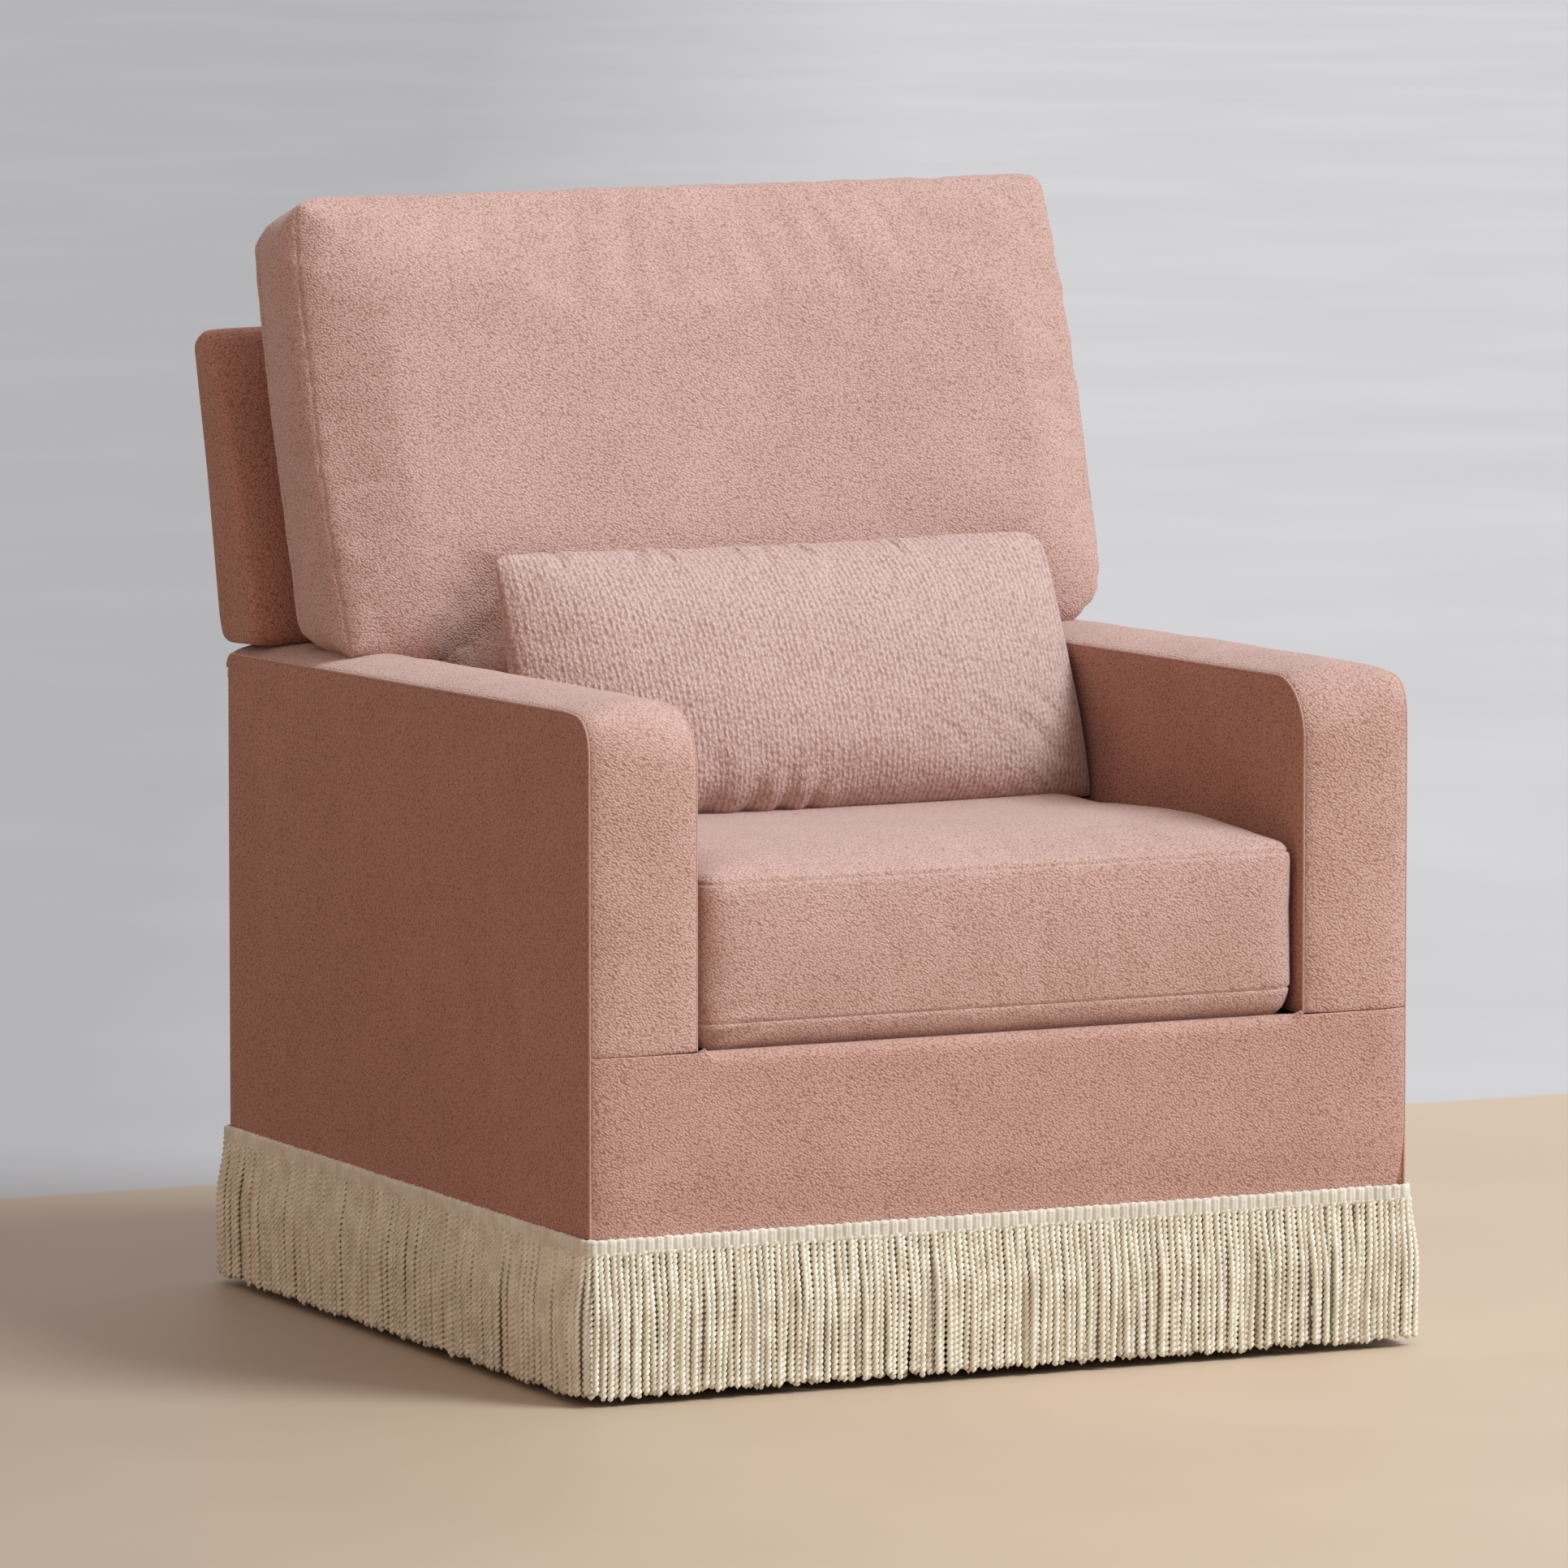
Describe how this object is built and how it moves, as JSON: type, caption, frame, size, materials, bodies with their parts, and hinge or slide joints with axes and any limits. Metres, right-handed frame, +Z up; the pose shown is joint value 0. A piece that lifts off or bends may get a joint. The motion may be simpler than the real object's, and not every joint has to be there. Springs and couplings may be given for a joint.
{
  "type": "glider nursery chair",
  "caption": "Upholstered swivel glider armchair with box arms, loose seat, back and lumbar cushions and a floor-length bullion fringe, on a round swivel base.",
  "frame": {"origin": "on the floor under the middle of the chair's overall box", "axes": "+X to the sitter's left, the right of a front view; -Y the way the chair faces; +Z up"},
  "size_m": [0.8196, 0.8729, 1.002],
  "materials": {
    "blush_boucle": "nubby woven boucle",
    "cream_cotton": "twisted bullion cord",
    "deck_cloth": "plain woven platform cloth",
    "poplar": "planed, unfinished",
    "black_steel": "black powder coat",
    "zinc_steel": "zinc plated",
    "spring_steel": "oiled spring wire",
    "grey_nylon": "moulded nylon"
  },
  "bodies": {
    "base": {"floor_ring": "black_steel", "base_cross": "black_steel", "floor_pad_front_left": "grey_nylon", "floor_pad_front_right": "grey_nylon", "floor_pad_rear_left": "grey_nylon", "floor_pad_rear_right": "grey_nylon", "bearing_lower_race": "zinc_steel", "bearing_ball_cage": "grey_nylon", "swivel_bolt": "zinc_steel"},
    "swivel_carriage": {"bearing_upper_race": "zinc_steel", "carriage_plate": "black_steel", "hanger_plate_left": "black_steel", "hanger_plate_right": "black_steel", "pivot_rod_front": "zinc_steel", "pivot_rod_rear": "zinc_steel", "stop_rod_front": "grey_nylon", "stop_rod_rear": "grey_nylon"},
    "front_links": {"glide_link_front_left": "black_steel", "glide_link_front_right": "black_steel"},
    "rear_links": {"glide_link_rear_left": "black_steel", "glide_link_rear_right": "black_steel"},
    "lumbar_pillow": {"lumbar_pillow": "blush_boucle"},
    "seat": {"arm_boxing_left": "blush_boucle", "arm_boxing_right": "blush_boucle", "arm_front_post_left": "poplar", "arm_front_post_right": "poplar", "arm_inner_panel_left": "blush_boucle", "arm_inner_panel_right": "blush_boucle", "arm_outer_panel_left": "blush_boucle", "arm_outer_panel_right": "blush_boucle", "arm_top_rail_left": "poplar", "arm_top_rail_right": "poplar", "back_panel": "blush_boucle", "back_pillow": "blush_boucle", "back_post_left": "poplar", "back_post_right": "poplar", "back_rail": "poplar", "back_rest": "blush_boucle", "fringe_back": "cream_cotton", "fringe_front": "cream_cotton", "fringe_left": "cream_cotton", "fringe_right": "cream_cotton", "front_panel": "blush_boucle", "front_rail": "poplar", "glide_pin_front_left": "zinc_steel", "glide_pin_front_right": "zinc_steel", "glide_pin_rear_left": "zinc_steel", "glide_pin_rear_right": "zinc_steel", "inside_back_panel": "blush_boucle", "seat_cushion": "blush_boucle", "seat_deck": "deck_cloth", "seat_rail_left": "black_steel", "seat_rail_right": "black_steel", "seat_spring_1": "spring_steel", "seat_spring_2": "spring_steel", "seat_spring_3": "spring_steel", "side_rail_left": "poplar", "side_rail_right": "poplar", "stretcher_front": "poplar", "stretcher_rear": "poplar"}
  },
  "joints": [
    {"name": "swivel", "type": "hinge", "parent": "base", "child": "swivel_carriage", "pos_m": [0, -0.0292, 0.045], "axis": [0, 0, 1], "continuous": true},
    {"name": "glide", "type": "hinge", "parent": "swivel_carriage", "child": "front_links", "pos_m": [0, -0.1792, 0.225], "axis": [1, 0, 0], "range_deg": [-32, 32]},
    {"name": "seat_level", "type": "hinge", "parent": "front_links", "child": "seat", "pos_m": [0, -0.1792, 0.115], "axis": [1, 0, 0], "range_deg": [-32, 32]},
    {"name": "rear_link_swing", "type": "hinge", "parent": "swivel_carriage", "child": "rear_links", "pos_m": [0, 0.1208, 0.225], "axis": [1, 0, 0], "range_deg": [-32, 32]},
    {"name": "lumbar_lift", "type": "slide", "parent": "seat", "child": "lumbar_pillow", "axis": [0, -0.2588, 0.9659], "range_m": [0, 0.2]}
  ],
  "couplings": [
    {"joint": "seat_level", "follows": "glide", "ratio": -1},
    {"joint": "rear_link_swing", "follows": "glide", "ratio": 1}
  ]
}
